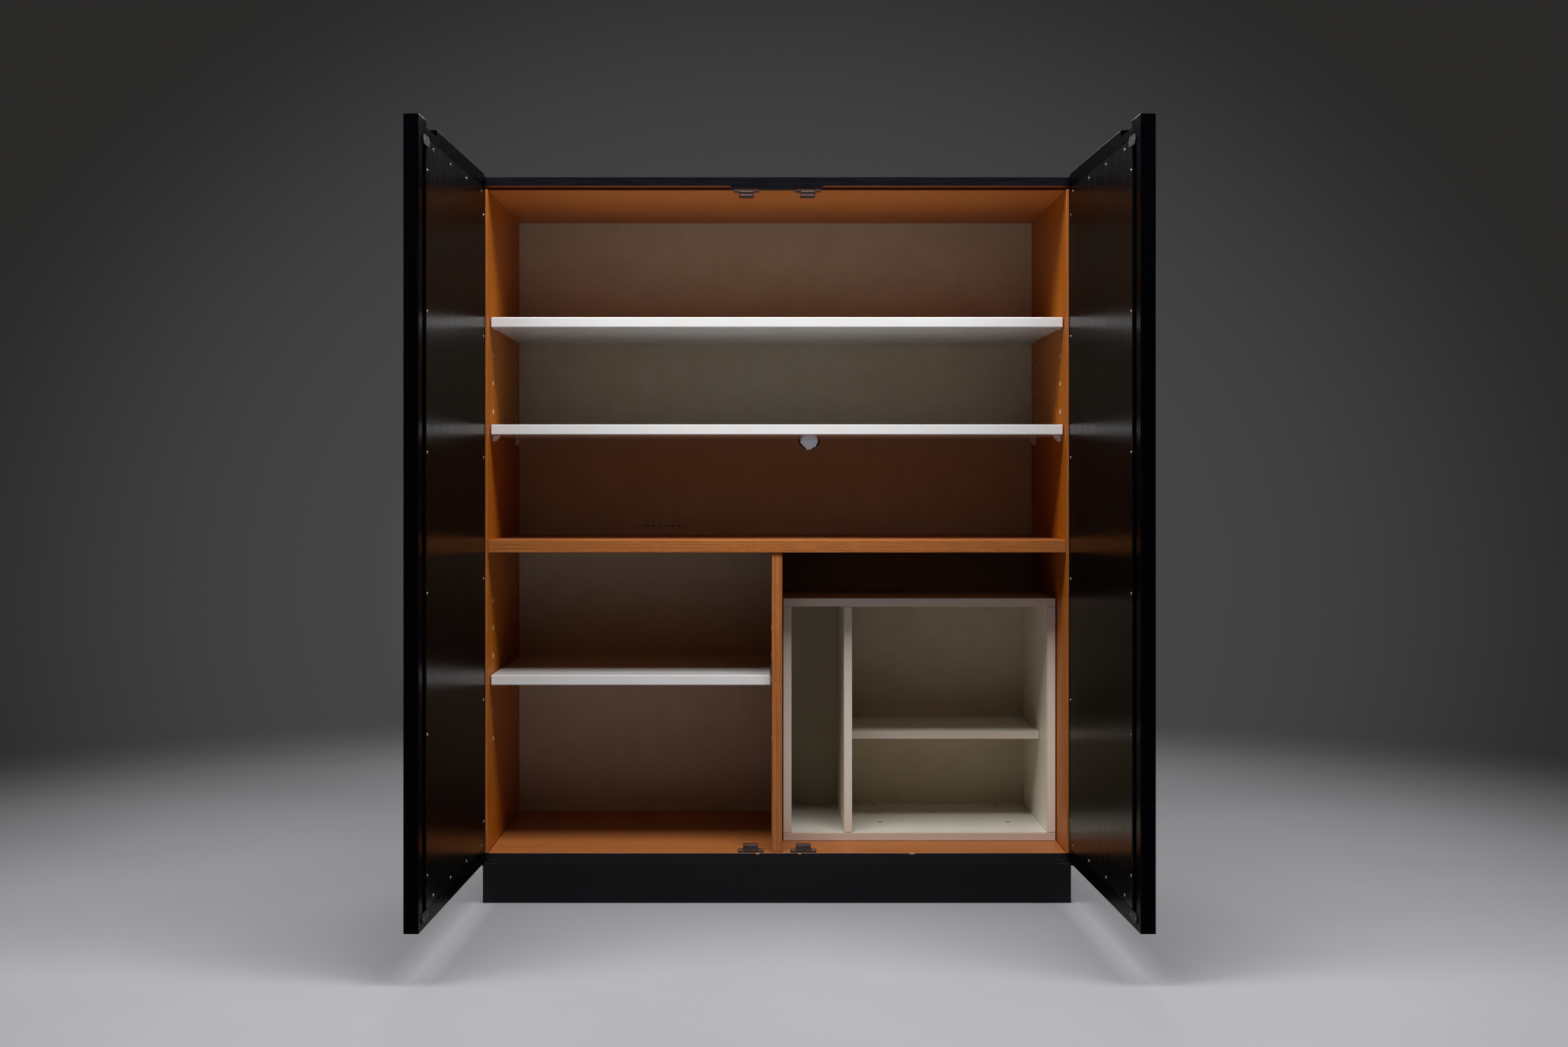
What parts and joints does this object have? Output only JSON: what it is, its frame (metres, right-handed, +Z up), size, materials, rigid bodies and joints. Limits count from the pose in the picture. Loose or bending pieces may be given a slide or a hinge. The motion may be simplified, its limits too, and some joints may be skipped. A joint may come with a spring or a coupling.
{
  "type": "bar cabinet",
  "caption": "Tall bar cabinet in black oak with hinged doors, a warm stained interior, loose white shelves, a loose inner box, magnetic catches and a recessed plinth.",
  "frame": {"origin": "on the floor, in the middle of the box of the cabinet with its doors standing open", "axes": "+Z up, +Y towards the back, +X towards the right-hand door as seen from the front"},
  "size_m": [1.1682, 1.0094, 1.3603],
  "materials": {
    "ebonised_oak": "satin black stain over open oak grain",
    "black_plywood": "semi-gloss black lacquer on plywood",
    "stained_oak": "satin warm orange stain on oak veneer",
    "white_laminate": "satin white laminate on chipboard",
    "cream_board": "satin cream laminate with aged edges",
    "painted_back": "matt off-white paint on hardboard",
    "white_plastic": "moulded white plastic",
    "brown_plastic": "moulded dark brown plastic",
    "aged_nickel": "worn nickel plate",
    "dark_steel": "blackened steel"
  },
  "bodies": {
    "carcass": {"side_left": "ebonised_oak", "side_right": "ebonised_oak", "top_panel": "ebonised_oak", "bottom_panel": "stained_oak", "back_panel": "painted_back", "middle_shelf": "stained_oak", "centre_divider": "stained_oak", "catch_block": "ebonised_oak", "plinth_front": "ebonised_oak", "plinth_left": "ebonised_oak", "plinth_right": "ebonised_oak", "plinth_back": "ebonised_oak", "upper_shelf_support_left_front": "white_plastic", "upper_shelf_support_left_rear": "white_plastic", "upper_shelf_support_right_front": "white_plastic", "upper_shelf_support_right_rear": "white_plastic", "second_shelf_support_left_front": "white_plastic", "second_shelf_support_left_rear": "white_plastic", "second_shelf_support_right_front": "white_plastic", "second_shelf_support_right_rear": "white_plastic", "lower_shelf_support_left_front": "white_plastic", "lower_shelf_support_left_rear": "white_plastic", "lower_shelf_support_right_front": "white_plastic", "lower_shelf_support_right_rear": "white_plastic", "top_catch_left": "brown_plastic", "top_catch_right": "brown_plastic", "bottom_catch_left": "brown_plastic", "bottom_catch_right": "brown_plastic", "top_leaf_left": "dark_steel", "top_leaf_right": "dark_steel", "foot_leaf_left": "dark_steel", "foot_leaf_right": "dark_steel"},
    "left_door": {"left_free_stile": "ebonised_oak", "left_hinge_stile": "ebonised_oak", "left_top_rail": "ebonised_oak", "left_bottom_rail": "ebonised_oak", "left_front_panel": "ebonised_oak", "left_inner_panel": "black_plywood", "left_top_strike": "aged_nickel", "left_bottom_strike": "aged_nickel", "left_door_leaf": "dark_steel"},
    "right_door": {"right_free_stile": "ebonised_oak", "right_hinge_stile": "ebonised_oak", "right_top_rail": "ebonised_oak", "right_bottom_rail": "ebonised_oak", "right_front_panel": "ebonised_oak", "right_inner_panel": "black_plywood", "right_top_strike": "aged_nickel", "right_bottom_strike": "aged_nickel", "right_door_leaf": "dark_steel"},
    "insert_box": {"insert_top": "cream_board", "insert_bottom": "cream_board", "insert_left": "cream_board", "insert_right": "cream_board", "insert_divider": "cream_board", "insert_shelf": "cream_board"},
    "upper_board": {"upper_shelf": "white_laminate"},
    "second_board": {"second_shelf": "white_laminate"},
    "lower_board": {"lower_shelf": "white_laminate"}
  },
  "joints": [
    {"name": "left_door_hinge", "type": "hinge", "parent": "carcass", "child": "left_door", "pos_m": [-0.5505, 0.04475, 0.7], "axis": [0, 0, 1], "range_deg": [-5, 92]},
    {"name": "right_door_hinge", "type": "hinge", "parent": "carcass", "child": "right_door", "pos_m": [0.5505, 0.04475, 0.7], "axis": [0, 0, -1], "range_deg": [-5, 92]},
    {"name": "insert_slide", "type": "slide", "parent": "carcass", "child": "insert_box", "axis": [0, -1, 0], "range_m": [0, 0.09]},
    {"name": "upper_shelf_lift", "type": "slide", "parent": "carcass", "child": "upper_board", "axis": [0, 0, 1], "range_m": [0, 0.23]},
    {"name": "second_shelf_slide", "type": "slide", "parent": "carcass", "child": "second_board", "axis": [0, -1, 0], "range_m": [0, 0.02]},
    {"name": "lower_shelf_lift", "type": "slide", "parent": "carcass", "child": "lower_board", "axis": [0, 0, 1], "range_m": [0, 0.225]}
  ]
}
